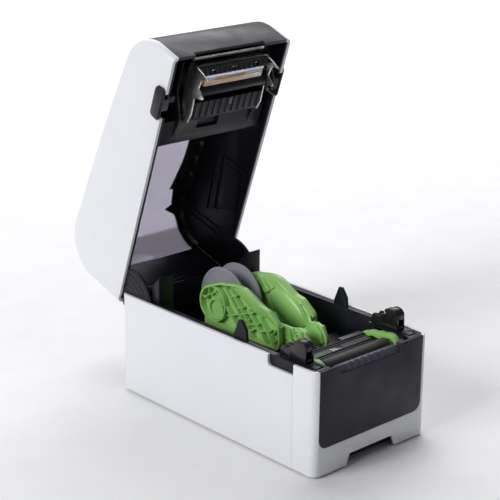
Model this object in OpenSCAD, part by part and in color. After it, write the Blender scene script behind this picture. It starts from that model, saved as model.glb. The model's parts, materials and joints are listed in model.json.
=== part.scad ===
// Two-inch desktop label printer with its lid open: centre-feed roll holder, direct thermal
// print head in the lid, platen roller and gear drive in the base.
// Origin: centre of the base's footprint on the table. -Y is the front, +X is right, +Z is up.
// The lid group is drawn shut and turned about the hinge to its open place.

/* [Body] */
// Width over the side covers
body_w = 110; // [108:1:114]
// Depth of the base
body_d = 204; // [203:0.5:206]
// Height of the base's rim above the table
base_h = 76.6; // [76.2:0.1:77]
// Wall thickness of the outer covers
wall = 2.4; // [2:0.1:2.6]
// Radius of the base's upright corners
corner_r = 6; // [4:0.5:8]
// Height of the rubber feet
foot_h = 2; // [1.5:0.1:2]

/* [Lid] */
// Angle that the lid stands open
lid_open = 70.9; // [0:0.1:70.9]
// Distance of the hinge axis behind the middle
hinge_y = 98; // [97.5:0.1:98.5]
// Height of the hinge axis
hinge_z = 70.2; // [70:0.1:70.6]
// Radius of the lid's nose
nose_r = 30.2; // [28:0.2:31]
// Radius of the lid's rear corner
rear_r = 30; // [26:0.5:32]

/* [Roll holder] */
// Radius of the roll holder's discs
disc_r = 25; // [22:0.5:26]
// Gap between the two discs with the holder shut
disc_gap = 12.4; // [12:0.1:14]
// Travel of each arm
arm_travel = 25.5; // [20:0.5:25.5]
// Height of the roll's axis
roll_z = 76; // [75:0.5:77]
// Radius of the roll well
well_r = 66; // [65:0.5:66]

/* [Drive] */
// Radius of the platen roller
platen_r = 6.5; // [6:0.1:6.5]
// Length of the platen's rubber
platen_len = 62; // [60:1:62]
// Gear module of the paper drive
gear_mod = 0.6; // [0.6]
// Teeth of the platen gear
platen_teeth = 18; // [18]
// Teeth of the idler gear
idler_teeth = 30; // [30]
// Teeth of the motor pinion
motor_teeth = 12; // [12]

/* [Hidden] */
$fn = 48;

half_w = body_w / 2;
half_d = body_d / 2;
inner_x = half_w - wall;            // inside face of a side cover
air = 0.15;                         // gap between neighbouring covers
eps = 0.01;

seam_y = -half_d + 21.4;            // seam between the front cover and the side covers
panel_x = [-50.8, 49.2];            // dark front panel
panel_z = 20.8;
cutout_x = 23;                      // finger cut-out under the front
cutout_z = 9.5;
chute_x = [-32, 26];
chute_z = 70.7;
chute_top = 74.2;
exit_x = [-35.5, 29.5];              // exit slot in the lid's nose

tub_x = 47.5;                       // inside of the roll well
tub_wall = 2.4;
tub_front = -57;
tub_rear = 92;
tub_floor = 12;
shelf_z = 56;
roll_y = 41;                        // axis of the label roll
rim_z = base_h - 0.3;
slot_x = 33;                        // closed recess at the back for fan-fold labels
slot_z = [50, 56];

arm_x = 13;                         // inner face of an arm
arm_out = 19;                       // outer face of an arm
nose_x = [7, 9.6];                  // plate of an arm's nose
rack_z = [5.2, 8.2];
rack_pitch_r = 8;
rack_mod = 1;
rack_teeth = 2 * rack_pitch_r / rack_mod;

platen_y = -83.6;
platen_z = 67.4;
shaft_r = 3;
bush_r = 4;
bush_x = [38.4, 40.4];              // end plate that holds a bush
gear_x = [41.2, 45.4];
deck_x = 39.2;                      // inner edge of a corner deck
idler_y = platen_y + 5;
idler_dist = gear_mod * (platen_teeth + idler_teeth) / 2;
idler_z = platen_z - sqrt(pow(idler_dist, 2) - pow(idler_y - platen_y, 2));
motor_y = -80.6;
motor_dist = gear_mod * (idler_teeth + motor_teeth) / 2;
motor_z = idler_z - sqrt(pow(motor_dist, 2) - pow(motor_y - idler_y, 2));

lid_bottom = base_h + 0.3;
crest_r = 2200;                     // gentle bow of the lid's top
crest_c = [254, -2049.4];
nose_a = acos((-half_d - 1 + nose_r - crest_c[0]) / (crest_r - nose_r));
nose_c = crest_c + (crest_r - nose_r) * [cos(nose_a), sin(nose_a)];
rear_a = acos((half_d + 2 - rear_r - crest_c[0]) / (crest_r - rear_r));
rear_c = crest_c + (crest_r - rear_r) * [cos(rear_a), sin(rear_a)];
wrap_x = 50.5;                      // edge of the white sides on the lid's top
liner_x = [50.7, 52.3];
sector_r = 28;
sector_x = [50.3, 52.2];
pin_r = 3;
run_gap = 0.05;                     // radial clearance of a running fit
window_x = 45;
window_y = -20;
window_z = 110;
tilt_y = -53;                       // axis that the print head rocks on
tilt_z = 80;
release_y = -88;                    // shaft of the lid release
release_z = 97;
lever_y = -61;                      // pin of a platen lever
lever_z = 68.2;
lever_x = [34.2, 38.2];
post_x = [40.4, 48.4];
hook_x = [42.9, 46.9];
hook_y = -83;                       // hooks of the head's bracket, with the head hanging free
hook_z = 63.2;
foot_x = [12.6, 16.6];              // foot of an arm, through the floor's slot
button_y = -62;

// ---- outlines -------------------------------------------------------------------------------

// Points along an arc
function arc(c, r, a0, a1, n = 8) =
    [for (i = [0 : n]) c + r * [cos(a0 + (a1 - a0) * i / n), sin(a0 + (a1 - a0) * i / n)]];

// Rectangle with four round corners
function round_rect(x, y, r, n = 6) = concat(
    arc([x[1] - r, y[1] - r], r, 0, 90, n), arc([x[0] + r, y[1] - r], r, 90, 180, n),
    arc([x[0] + r, y[0] + r], r, 180, 270, n), arc([x[1] - r, y[0] + r], r, 270, 360, n));

// Side view of the lid's shell, drawn t inside the outer face, from front foot to rear foot
function lid_curve(t) = concat(
    [[-half_d + t, lid_bottom]],
    arc(nose_c, nose_r - t, 180, nose_a, 14),
    arc(crest_c, crest_r - t, nose_a, rear_a, 8),
    arc(rear_c, rear_r - t, rear_a, 0, 12),
    [[half_d + 1.4 - t, lid_bottom]]);

// Band between two insets of the lid's shell
function lid_band(t0, t1) =
    let (inner = lid_curve(t1), last = len(inner) - 1)
    concat(lid_curve(t0), [for (i = [0 : last]) inner[last - i]]);

// Side view of the roll well's inside, t outside it, up to front_top at the front
function well_curve(t, front_top) =
    let (r = well_r + t, floor_z = tub_floor - t, shelf = shelf_z - t,
         a1 = 180 + asin((roll_z - shelf) / r), a2 = 180 + asin((roll_z - floor_z) / r),
         a3 = 360 - asin((roll_z - floor_z) / r), a4 = 360 - acos((tub_rear + t - roll_y) / r))
    concat([[tub_front - t, front_top], [tub_front - t, shelf]],
        arc([roll_y, roll_z], r, a1, a2, 8), arc([roll_y, roll_z], r, a3, a4, 8),
        [[tub_rear + t, rim_z]]);

// Gear outline: trapezoid teeth, the first one centred at angle a0
function gear_points(teeth, m, a0) =
    let (r = teeth * m / 2, step = 360 / teeth)
    [for (i = [0 : teeth - 1]) each [
        for (p = [[-0.34, -1.15], [-0.12, 0.85], [0.12, 0.85], [0.34, -1.15]])
            let (a = a0 + step * (i + p[0])) (r + p[1] * m) * [cos(a), sin(a)]]];

// Angle of a gear's tooth when it meshes with its neighbour in direction dir
function mesh_phase(t1, a1, t2, dir) = dir + 180 - ((a1 - dir) * t1 + 180) / t2;

idler_dir = atan2(idler_z - platen_z, idler_y - platen_y);
motor_dir = atan2(motor_z - idler_z, motor_y - idler_y);
idler_phase = mesh_phase(platen_teeth, 0, idler_teeth, idler_dir);
motor_phase = mesh_phase(idler_teeth, idler_phase, motor_teeth, motor_dir);

// ---- drawing helpers ------------------------------------------------------------------------

// Box from ranges along X, Y and Z
module block(x, y, z) {
    translate([x[0], y[0], z[0]]) cube([x[1] - x[0], y[1] - y[0], z[1] - z[0]]);
}

// Extrudes a [y, z] outline along X
module along_x(x) {
    translate([x[0], 0, 0]) rotate([90, 0, 90]) linear_extrude(x[1] - x[0]) children();
}

// Extrudes an [x, z] outline along Y
module along_y(y) {
    translate([0, y[1], 0]) rotate([90, 0, 0]) linear_extrude(y[1] - y[0]) children();
}

// Extrudes an [x, y] outline along Z
module along_z(z) {
    translate([0, 0, z[0]]) linear_extrude(z[1] - z[0]) children();
}

// Cylinder along X through a [y, z] point
module rod_x(p, r, x) {
    translate([x[0], p[0], p[1]]) rotate([0, 90, 0]) cylinder(r = r, h = x[1] - x[0]);
}

// Cylinder along Y through an [x, z] point
module rod_y(p, r, y) {
    translate([p[0], y[0], p[1]]) rotate([-90, 0, 0]) cylinder(r = r, h = y[1] - y[0]);
}

// Draws on the right, or mirrored on the left when side is -1
module on_side(side) {
    if (side > 0) children();
    else mirror([1, 0, 0]) children();
}

// Draws on both sides
module both_sides() {
    on_side(1) children();
    on_side(-1) children();
}

// Turns the shut lid's parts to the open place
module lid_place() {
    translate([0, hinge_y, hinge_z]) rotate([-lid_open, 0, 0])
        translate([0, -hinge_y, -hinge_z]) children();
}

// ---- base: covers ---------------------------------------------------------------------------

// Chamfer along the rear rim that the lid's rear wall swings over
module hinge_relief() {
    along_x([0, half_w + 1]) polygon([[half_d - 2, base_h + 0.6], [half_d + 1, base_h + 0.6],
        [half_d + 1, base_h - 2], [half_d + 0.2, base_h - 2]]);
}

// Side cover: flat outside, wrapped round the rear corner, with a finger recess at the rim
module side_cover(side) {
    c = half_w - corner_r;
    yc = half_d - corner_r;
    on_side(side) difference() {
        along_z([foot_h - 0.6, base_h]) polygon(concat(
            [[half_w, seam_y + air], [half_w, yc]], arc([c, yc], corner_r, 0, 90),
            [[46, half_d], [46, half_d - wall]], arc([c, yc], corner_r - wall, 90, 0),
            [[inner_x, seam_y + air]]));
        along_x([inner_x - 1, half_w + 1]) polygon(concat(
            [[seam_y - 1, base_h + 1], [seam_y - 1, 68.7]],
            arc([-59, 71.7], 3, 270, 360, 5), [[-56, base_h + 1]]));
        hinge_relief();
        rod_x([hinge_y, hinge_z], 7, [45, inner_x]);
    }
}

module left_side_cover() {
    color([0.87, 0.88, 0.91]) side_cover(-1);
}

module right_side_cover() {
    color([0.87, 0.88, 0.91]) side_cover(1);
}

// Front cover: both front corners and the strip below the dark panel
module front_cover() {
    c = half_w - corner_r;
    yc = -half_d + corner_r;
    color([0.87, 0.88, 0.91]) difference() {
        along_z([foot_h - 0.6, base_h]) difference() {
            polygon(concat([[half_w, seam_y], [-half_w, seam_y]],
                arc([-c, yc], corner_r, 180, 270), arc([c, yc], corner_r, 270, 360)));
            polygon(concat([[inner_x, seam_y + 1], [-inner_x, seam_y + 1]],
                arc([-c, yc], corner_r - wall, 180, 270), arc([c, yc], corner_r - wall, 270, 360)));
        }
        along_y([-half_d - 1, yc]) polygon(concat(
            [[panel_x[1], base_h + 1], [panel_x[0], base_h + 1]],
            arc([panel_x[0] + 7, panel_z + 7], 7, 180, 270),
            arc([panel_x[1] - 7, panel_z + 7], 7, 270, 360)));
        along_y([-half_d - 1, yc]) polygon([[-cutout_x - 2, -1], [cutout_x + 2, -1],
            [cutout_x - 2, cutout_z], [-cutout_x + 2, cutout_z]]);
    }
}

// Dark front panel, set flush in the front cover, notched for the exit chute
module front_panel() {
    x = [panel_x[0] + air, panel_x[1] - air];
    color([0.19, 0.19, 0.22]) difference() {
        along_y([-half_d, -half_d + wall]) polygon(concat(
            [[x[1], base_h], [x[0], base_h]],
            arc([x[0] + 7, panel_z + air + 7], 7, 180, 270),
            arc([x[1] - 7, panel_z + air + 7], 7, 270, 360)));
        block([chute_x[0] - air, chute_x[1] + air], [-half_d - 1, -half_d + wall + 1],
            [chute_z - air, base_h + 1]);
    }
}

// Sloped lip that the labels leave over, with upright ribs
module exit_chute() {
    ribs = 9;
    step = (chute_x[1] - chute_x[0] - 6) / ribs;
    color([0.29, 0.29, 0.33]) {
        along_x(chute_x) polygon([[-half_d + 0.2, chute_z], [-97.8, chute_top],
            [-95, chute_top], [-95, chute_z - 4], [-99.2, chute_z - 4], [-99.2, chute_z]]);
        for (i = [0 : ribs])
            along_x([chute_x[0] + 3 + i * step - 0.6, chute_x[0] + 3 + i * step + 0.6])
                polygon([[-half_d + 0.6, chute_z + 0.5], [-98.8, chute_top + 0.7],
                    [-97, chute_top + 0.7], [-97, chute_top - 1]]);
    }
}

// Rear panel with the sockets' holes and the power inlet
module rear_panel() {
    color([0.09, 0.09, 0.1]) difference() {
        block([-45.8, 45.8], [half_d - wall, half_d], [foot_h - 0.6, rim_z - 1.2]);
        rod_y([-30, 14], 4.4, [half_d - 5, half_d + 1]);
        block([-13, 0], [half_d - 5, half_d + 1], [7.6, 20.4]);
        block([13.4, 30.6], [half_d - 5, half_d + 1], [7.6, 22.4]);
        block([-slot_x, slot_x], [half_d - 1, half_d + 1], slot_z);
    }
}

// Bottom plate with the stud that the arms' pinion turns on
module bottom_plate() {
    color([0.1, 0.1, 0.11]) difference() {
        union() {
            along_z([foot_h, foot_h + 2.2]) polygon(round_rect([-52, 52], [-98.8, 99], 4));
            translate([0, roll_y, foot_h + 1]) cylinder(r = 2, h = rack_z[1] - foot_h);
        }
        block([-cutout_x - 3, cutout_x + 3], [-110, -94.5], [0, 10]);
        for (x = [-44, 44], y = [-48, 88])
            translate([x, y, 0]) cylinder(r = 1.8, h = 10);
    }
}

// Four round rubber feet
module rubber_feet() {
    color([0.05, 0.05, 0.05]) for (x = [-41, 41], y = [-78, 76])
        translate([x, y, 0]) cylinder(r = 6, h = foot_h);
}

// Screws that hold the bottom plate
module bottom_screws() {
    color([0.6, 0.6, 0.62]) for (x = [-44, 44], y = [-48, 88]) translate([x, y, foot_h - 0.9]) {
        difference() {
            cylinder(r = 2.9, h = 0.9);
            translate([0, 0, -eps]) cylinder(r = 1.1, h = 0.6, $fn = 6);
        }
        translate([0, 0, 0.9]) cylinder(r = 1.4, h = 9);
    }
}

// ---- base: chassis --------------------------------------------------------------------------

// Black tub that holds the roll, with its rim, screw bosses and the slots of the two arms
module main_chassis() {
    inner = well_curve(0, shelf_z + 2);
    last = len(inner) - 1;
    color([0.07, 0.07, 0.08]) difference() {
        union() {
            along_x([-tub_x, tub_x]) polygon(concat(well_curve(tub_wall, shelf_z + 2),
                [for (i = [0 : last]) inner[last - i]]));
            both_sides() {
                along_x([tub_x, tub_x + tub_wall]) polygon(well_curve(tub_wall, rim_z));
                block([tub_x, inner_x - 0.1], [tub_front - tub_wall, 66], [rim_z - 2.5, rim_z]);
                block([inner_x - 1.7, inner_x - 0.1], [tub_front - tub_wall, -50], [58, rim_z]);
                block([tub_x, tub_x + tub_wall], [tub_rear, 99.4], [56, rim_z]);
                // tooth on the rim that steers the lid
                along_x([tub_x + 0.4, tub_x + tub_wall]) polygon([[-30, rim_z - 1],
                    [-17, rim_z - 1], [-17, 79], [-21.5, 90], [-24.5, 90], [-29, 84]]);
                for (y = [-48, 88]) difference() {
                    translate([44, y, foot_h + 2.2]) cylinder(r = 3.6, h = y < 0 ? 50 : 23);
                    translate([44, y, 0]) cylinder(r = 1.45, h = 16);
                }
            }
        }
        for (side = [-1, 1]) on_side(side)
            block([foot_x[0] - 0.5, foot_x[1] + arm_travel + 0.5],
                [slot_y(side) - 3.4, slot_y(side) + 3.4], [9, tub_floor + 1]);
        both_sides() rod_x([hinge_y, hinge_z], pin_r, [tub_x - 1, tub_x + tub_wall + 1]);
    }
}

// Y of the slot and rack of one arm: the racks lie on opposite sides of the pinion
function slot_y(side) = roll_y + side * (rack_pitch_r + 4);

// Steel pins that the lid turns on
module hinge_pins() {
    color([0.7, 0.7, 0.72]) both_sides()
        rod_x([hinge_y, hinge_z], pin_r, [tub_x - 1, inner_x - 0.1]);
}

// Black end plates of the platen: open bearing seats, corner decks and the levers' pins
module platen_frame() {
    outer_x = inner_x - 0.2;
    rear_y = tub_front - tub_wall - 0.1;
    color([0.08, 0.08, 0.09]) difference() {
        both_sides() {
            along_x(bush_x) polygon([[-97, 6], [-61.5, 6], [-61.5, 62], [-66, 70], [-78, 74.7],
                [-92, 74.7], [-97, 72]]);
            block([bush_x[0], outer_x], [-98.9, -97], [6, rim_z]);
            block([deck_x, outer_x], [-98, rear_y], [74.6, rim_z]);
            block([bush_x[1] + 7, outer_x], [-61.6, rear_y], [6, 74.7]);
            block([outer_x - 1.6, outer_x], [-96.5, rear_y], [58, 74.7]);
            block(bush_x, [-66, rear_y], [58, 74.7]);
            rod_x([lever_y, lever_z], 1.45, [lever_x[0] + 0.3, bush_x[1]]);
        }
        both_sides() {
            rod_x([platen_y, platen_z], bush_r + 0.02, [30, bush_x[1] + 0.3]);
            block([30, bush_x[1] + 0.3], [platen_y - bush_r - 0.02, platen_y + bush_r + 0.02],
                [platen_z, 74.6]);
            block([42.5, 49.8], [-96.4, -88.5], [75.4, rim_z + 1]);
        }
        rod_x([idler_y, idler_z], 2, [30, 42]);
        rod_x([motor_y, motor_z], 4, [30, 42]);
        along_z([0, base_h + 1]) difference() {
            polygon([[-half_w, -half_d], [half_w, -half_d], [half_w, -90], [-half_w, -90]]);
            polygon(round_rect([-outer_x, outer_x], [-half_d + wall + 0.2, 0], corner_r - wall));
        }
    }
}

// Post that the lid's hook catches, slotted for the hook
module latch_post() {
    color([0.08, 0.08, 0.09]) difference() {
        along_x(post_x) polygon(concat([[-60.5, rim_z], [-61, 81.5], [-63, 84.2], [-70, 85.5],
            [-72, 89]], arc([-79, 84.5], 7, 65, 150, 8), [[-85.5, rim_z]]));
        block([hook_x[0] - 0.4, hook_x[1] + 0.4], [-69.9, -62.5], [78.5, 95]);
        block([hook_x[0] - 0.4, hook_x[1] + 0.4], [-86.5, -80], [79, 84]);
    }
}

module left_latch_post() {
    mirror([1, 0, 0]) latch_post();
}

module right_latch_post() {
    latch_post();
}

// Upright plates at the rear of the well that guide the lid
module rear_posts() {
    color([0.07, 0.07, 0.08]) both_sides() {
        along_x([36, tub_x]) polygon([[64, 60], [77, 60], [77, 84], [64, 97]]);
        along_x([tub_x, 49.8]) polygon([[64, rim_z], [72, rim_z], [72, 88], [64, 97]]);
    }
}

// Plate that the labels run over, behind the platen, with two ridges and a raised rear block
module paper_guide_plate() {
    color([0.1, 0.1, 0.11]) difference() {
        union() {
            block([-31.6, 31.6], [-76.2, -59.6], [66.5, 69.6]);
            block([-33.8, 33.8], [-69, -59.6], [65, 69.6]);
            along_x([-33.8, 33.8]) polygon([[-60, 65], [-60, 69.6], [-52.5, 64], [-52.5, 58.6],
                [-56.5, 58.6]]);
            for (y = [-75.6, -70.9]) block([-31.6, 31.6], [y - 0.5, y + 0.5], [69.5, 70.1]);
            block([12, 33.8], [-60.5, -55.5], [64, 70.2]);
        }
        block([-6, 6], [-70.2, -63.8], [60, 72]);
    }
}

// Gap sensor under the labels
module media_sensor() {
    color([0.16, 0.13, 0.2]) block([-5.8, 5.8], [-70, -64], [65.5, 69.4]);
}

// ---- base: paper drive ----------------------------------------------------------------------

// Bushes at both ends of the platen
module platen_bearings() {
    color([0.75, 0.75, 0.76]) both_sides() difference() {
        rod_x([platen_y, platen_z], bush_r, [platen_len / 2 + 0.4, bush_x[1]]);
        rod_x([platen_y, platen_z], shaft_r + run_gap, [30, 50]);
    }
}

module platen_shaft() {
    color([0.72, 0.72, 0.74]) rod_x([platen_y, platen_z], shaft_r, [-bush_x[1] - 0.6, gear_x[1] + 0.6]);
}

module platen_rubber() {
    color([0.05, 0.05, 0.055]) difference() {
        rod_x([platen_y, platen_z], platen_r, [-platen_len / 2, platen_len / 2]);
        rod_x([platen_y, platen_z], shaft_r, [-50, 50]);
    }
}

// Gear on an X axis with a bore
module gear_x_axis(p, teeth, phase, bore) {
    difference() {
        translate([0, p[0], p[1]]) along_x(gear_x) polygon(gear_points(teeth, gear_mod, phase));
        rod_x(p, bore, [gear_x[0] - 1, gear_x[1] + 1]);
    }
}

module platen_gear() {
    color([0.9, 0.9, 0.86]) gear_x_axis([platen_y, platen_z], platen_teeth, 0, shaft_r);
}

// Idler gear with its own stub axle in the end plate
module idler_gear() {
    color([0.9, 0.9, 0.86]) {
        gear_x_axis([idler_y, idler_z], idler_teeth, idler_phase, 1.95);
        rod_x([idler_y, idler_z], 1.95, [bush_x[0] + 0.3, gear_x[1]]);
    }
}

// Stepper motor on the right end plate
module stepper_motor() {
    s = 12;
    color([0.35, 0.35, 0.37]) difference() {
        union() {
            block([10, bush_x[0]], [motor_y - s, motor_y + s], [motor_z - s, motor_z + s]);
            rod_x([motor_y, motor_z], 3.9, [30, bush_x[1] - 0.4]);
        }
        rod_x([motor_y, motor_z], 2 + run_gap, [20, 42]);
    }
}

// Motor's pinion and shaft
module motor_pinion() {
    color([0.8, 0.68, 0.35]) {
        gear_x_axis([motor_y, motor_z], motor_teeth, motor_phase, 2);
        rod_x([motor_y, motor_z], 2, [22, gear_x[1]]);
    }
}

// ---- base: electronics ----------------------------------------------------------------------

module main_board() {
    color([0.1, 0.35, 0.2]) {
        block([-39, 39], [62, 98], [6.2, 7.8]);
        for (x = [-24, 4, 26]) block([x, x + 10], [66, 76], [7.8, 9]);
    }
    color([0.1, 0.35, 0.2]) for (x = [-35, 35], y = [68, 94])
        translate([x, y, foot_h + 2.2]) cylinder(r = 2.2, h = 1.8);
}

module power_jack() {
    color([0.06, 0.06, 0.06]) difference() {
        block([-36, -24], [86, half_d - wall], [7.8, 19.8]);
        rod_y([-30, 14], 3.2, [90, half_d]);
    }
}

module usb_port() {
    color([0.75, 0.75, 0.76]) difference() {
        block([-12.6, -0.4], [84, half_d - 0.6], [7.8, 20]);
        block([-11, -2], [90, half_d], [9.8, 18]);
    }
    color([0.75, 0.75, 0.76]) block([-9.2, -3.8], [89, half_d - 2], [14.8, 17]);
}

module network_port() {
    color([0.72, 0.72, 0.73]) difference() {
        block([13.8, 30.2], [84, half_d - 0.6], [7.8, 22]);
        block([16.2, 27.8], [88, half_d], [10, 18.4]);
        block([19.4, 24.6], [88, half_d], [18, 20.6]);
    }
}

// ---- base: green platen levers --------------------------------------------------------------

// Arched lever over one end of the platen, hooked round its bush and turning on a rear pin
module platen_lever() {
    c = [platen_y, platen_z];
    color([0.5, 0.75, 0.36]) difference() {
        union() {
            along_x(lever_x) polygon(concat([[lever_y + 2.2, lever_z + 2], [-63, 72], [-67.4, 73.6],
                [-71.7, 73.7], [-75, 74.9]], arc(c, 8.6, 62, 172, 10), arc(c, 4.8, 158, 48, 8),
                [[-76, 69.8], [-71.9, 69.4], [-67.5, 70], [-64.6, 68.4]]));
            rod_x([lever_y, lever_z], 2.9, lever_x);
        }
        rod_x([lever_y, lever_z], 1.5, [lever_x[0] - 1, lever_x[1] + 1]);
    }
}

module left_platen_lever() {
    mirror([1, 0, 0]) platen_lever();
}

module right_platen_lever() {
    platen_lever();
}

// ---- roll holder ----------------------------------------------------------------------------

// Moves each corner of a clockwise outline inwards by t
function inset(pts, t) =
    let (n = len(pts))
    [for (i = [0 : n - 1])
        let (a = pts[(i + n - 1) % n], b = pts[i], c = pts[(i + 1) % n],
             u = (b - a) / norm(b - a), v = (c - b) / norm(c - b),
             nu = [u[1], -u[0]], nv = [v[1], -v[0]])
        b + t * (nu + nv) / (1 + nu * nv)];

// Side view of an arm, clockwise from the top of its round end
arm_outline = concat(
    arc([roll_y, roll_z], 14, 75, -80, 12),
    [[30, 60], [-28, 60], [-30, 66], [-28.6, 79], [-17, 87.6], [-10, 88.5], [-2, 93], [7, 97.2],
     [16, 97.5], [34, 94.2]]);

// Rib across an arm between two [y, z] points
module arm_rib(p, q, x) {
    d = (q - p) / norm(q - p);
    n = 0.8 * [-d[1], d[0]];
    along_x(x) polygon([p + n, q + n, q - n, p - n]);
}

// Arm of the roll holder: a walled, ribbed plate with the disc's axle, a stalk and a foot
module roll_arm(side) {
    rib_x = [arm_x + 1, arm_out - 1.2];
    color([0.47, 0.7, 0.34]) on_side(side) difference() {
        union() {
            difference() {
                along_x([arm_x, arm_out]) polygon(arm_outline);
                along_x([arm_x + 1.8, arm_out + 1]) polygon(inset(arm_outline, 1.8));
            }
            // ring and inner boss over the axle
            difference() {
                rod_x([roll_y, roll_z], 10.4, [arm_x + 1, arm_out - 0.6]);
                rod_x([roll_y, roll_z], 8.8, [arm_x + 1.8, arm_out]);
            }
            rod_x([roll_y, roll_z], 5.4, [arm_x + 1, arm_out - 2.4]);
            rod_x([roll_y, roll_z], 4, [2.4, arm_x + 1]);
            // long ribs, high at the rear and low at the front, and the short ones between them
            arm_rib([27, 77.8], [11, 61.8], rib_x);
            arm_rib([28.5, 91.5], [-1.2, 61.8], rib_x);
            arm_rib([22.5, 91.5], [1.5, 70.5], rib_x);
            arm_rib([4, 81.6], [-15.8, 61.8], rib_x);
            arm_rib([-8, 79], [-25.2, 61.8], rib_x);
            for (p = [[21, 84], [15, 78], [2, 78], [-4, 72]])
                arm_rib(p, p + [-5.2, 5.2], rib_x);
            // smooth web under the top edge
            along_x([arm_x, arm_out - 1.8]) polygon([[23.4, 94], [8, 95.6], [-2, 91.4], [-10, 87],
                [-17, 86], [-24, 80.5], [-28, 78], [-20.6, 77], [-8, 79.2], [0, 80.4], [8, 85]]);
            // nose bent in towards the middle, with a small bored boss
            intersection() {
                along_x([0, arm_out]) polygon([[-45, 60.5], [-49.5, 62.5], [-50.2, 69],
                    [-46, 77], [-40, 78.6], [-33, 77], [-24, 80.5], [-24, 62]]);
                along_z([60, 82]) polygon([[arm_x + 2.4, -24], [arm_x, -24], [nose_x[0], -32],
                    [nose_x[0], -51], [nose_x[1], -51], [nose_x[1], -33.5],
                    [arm_x + 2.4, -27.5]]);
            }
            rod_x([-39, 72.5], 4, [nose_x[1] - 1, nose_x[1] + 1.6]);
            // stalk and foot
            along_x([foot_x[0], foot_x[1]]) polygon([[20, 61], [52, 64], [55.8, 12.4],
                [26.2, 12.4]]);
            block(foot_x, [slot_y(side) - 3, slot_y(side) + 3], [rack_z[0], 13]);
        }
        rod_x([-39, 72.5], 1.1, [nose_x[1] - 1, nose_x[1] + 2]);
    }
}

module left_roll_arm() {
    roll_arm(-1);
}

module right_roll_arm() {
    roll_arm(1);
}

// Rack under the floor; its teeth face the pinion
module arm_rack(side) {
    pitch = PI * rack_mod;
    back = roll_y + side * (rack_pitch_r + 6);
    root = roll_y + side * (rack_pitch_r + 1.15);
    tip = roll_y + side * (rack_pitch_r - 0.8);
    teeth = [-10 : 4];
    color([0.1, 0.1, 0.11]) on_side(side) {
        block([-arm_travel - 7, foot_x[0]], [min(back, root), max(back, root)], rack_z);
        along_z(rack_z) for (i = teeth) let (x = (i - 0.5) * pitch)
            polygon([[x - 1.0, root], [x - 0.42, tip], [x + 0.42, tip], [x + 1.0, root],
                [x + 1.0, root + side], [x - 1.0, root + side]]);
    }
}

module left_arm_rack() {
    arm_rack(-1);
}

module right_arm_rack() {
    arm_rack(1);
}

// Pinion between the racks that centres the two arms
module arm_pinion() {
    color([0.9, 0.9, 0.86]) difference() {
        translate([0, roll_y, 0]) along_z(rack_z) polygon(gear_points(rack_teeth, rack_mod, 0));
        translate([0, roll_y, 0]) cylinder(r = 2 + run_gap, h = 20);
    }
}

// Disc with the boss that enters the roll's core
module roll_disc() {
    x = disc_gap / 2;
    color([0.52, 0.53, 0.57]) difference() {
        union() {
            rod_x([roll_y, roll_z], disc_r - 0.5, [x, x + 2]);
            rod_x([roll_y, roll_z], disc_r, [x + 0.5, x + 1.5]);
            rod_x([roll_y, roll_z], 12, [x - 3.4, x + 0.5]);
            rod_x([roll_y, roll_z], 11.2, [x - 4.2, x]);
            rod_x([roll_y, roll_z], 10, [x + 1, arm_x - 0.4]);
        }
        rod_x([roll_y, roll_z], 4 + run_gap, [0, arm_x]);
        rod_x([roll_y, roll_z], 9.6, [x - 5, x - 2]);
    }
}

module left_disc() {
    mirror([1, 0, 0]) roll_disc();
}

module right_disc() {
    roll_disc();
}

// ---- lid: shell -----------------------------------------------------------------------------

// Slot through a lid side for the release tab's stem
module release_slot() {
    block([wrap_x - 1, half_w + 1], [-74, -55], [lid_bottom - 1, 85.4]);
}

// White side of the lid with a flange wrapped onto the top
module lid_side() {
    color([0.87, 0.88, 0.91]) lid_place() difference() {
        union() {
            along_x([inner_x, half_w]) polygon(lid_curve(0));
            along_x([wrap_x, inner_x + 1]) polygon(lid_band(0, wall));
        }
        release_slot();
        rod_x([hinge_y, hinge_z], 7.2, [wrap_x - 1, half_w + 1]);
    }
}

module lid_left_side() {
    mirror([1, 0, 0]) lid_side();
}

module lid_right_side() {
    lid_side();
}

// Dark cover of the nose and the front of the top, with the exit slot and the buttons' holes
module lid_nose_cover() {
    x = wrap_x - air;
    color([0.36, 0.36, 0.4]) lid_place() difference() {
        along_x([-x, x]) polygon(lid_band(0, wall));
        block([-x - 1, x + 1], [window_y - 5, half_d + 5], [lid_bottom - 1, 160]);
        block(exit_x, [-half_d - 2, -half_d + 4], [lid_bottom - 1, 80]);
        for (x = [26, 40]) translate([x, button_y, 110]) cylinder(r = 4.2, h = 40);
        translate([33, button_y, 110]) cylinder(r = 1.6, h = 40);
    }
}

// Dark frame round the window, down the rear to the rim
module lid_rear_frame() {
    x = wrap_x - air;
    color([0.3, 0.3, 0.33]) lid_place() difference() {
        along_x([-x, x]) polygon(lid_band(0, wall));
        block([-x - 1, x + 1], [-half_d - 5, window_y - 5 + air], [lid_bottom - 1, 160]);
        block([-window_x, window_x], [window_y, half_d + 5], [window_z, 160]);
    }
}

// Smoked window over the roll
module lid_window() {
    x = window_x - 0.1;
    color([0.62, 0.6, 0.68, 0.5]) lid_place() intersection() {
        along_x([-x, x]) polygon(lid_band(0, wall - 0.4));
        block([-x, x], [window_y + 0.1, half_d + 5], [window_z + 0.1, 160]);
    }
}

// Black lining of both sides, with the sector plates that turn on the hinge pins
module lid_liner() {
    color([0.06, 0.06, 0.07]) lid_place() both_sides() difference() {
        union() {
            along_x(liner_x) polygon(lid_curve(wall + 0.2));
            along_x(sector_x) polygon(concat([[hinge_y, hinge_z]],
                arc([hinge_y, hinge_z], sector_r, 110, 245, 18)));
            rod_x([hinge_y, hinge_z], 6, sector_x);
        }
        rod_x([hinge_y, hinge_z], pin_r + run_gap, [40, 60]);
        release_slot();
    }
}

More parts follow.
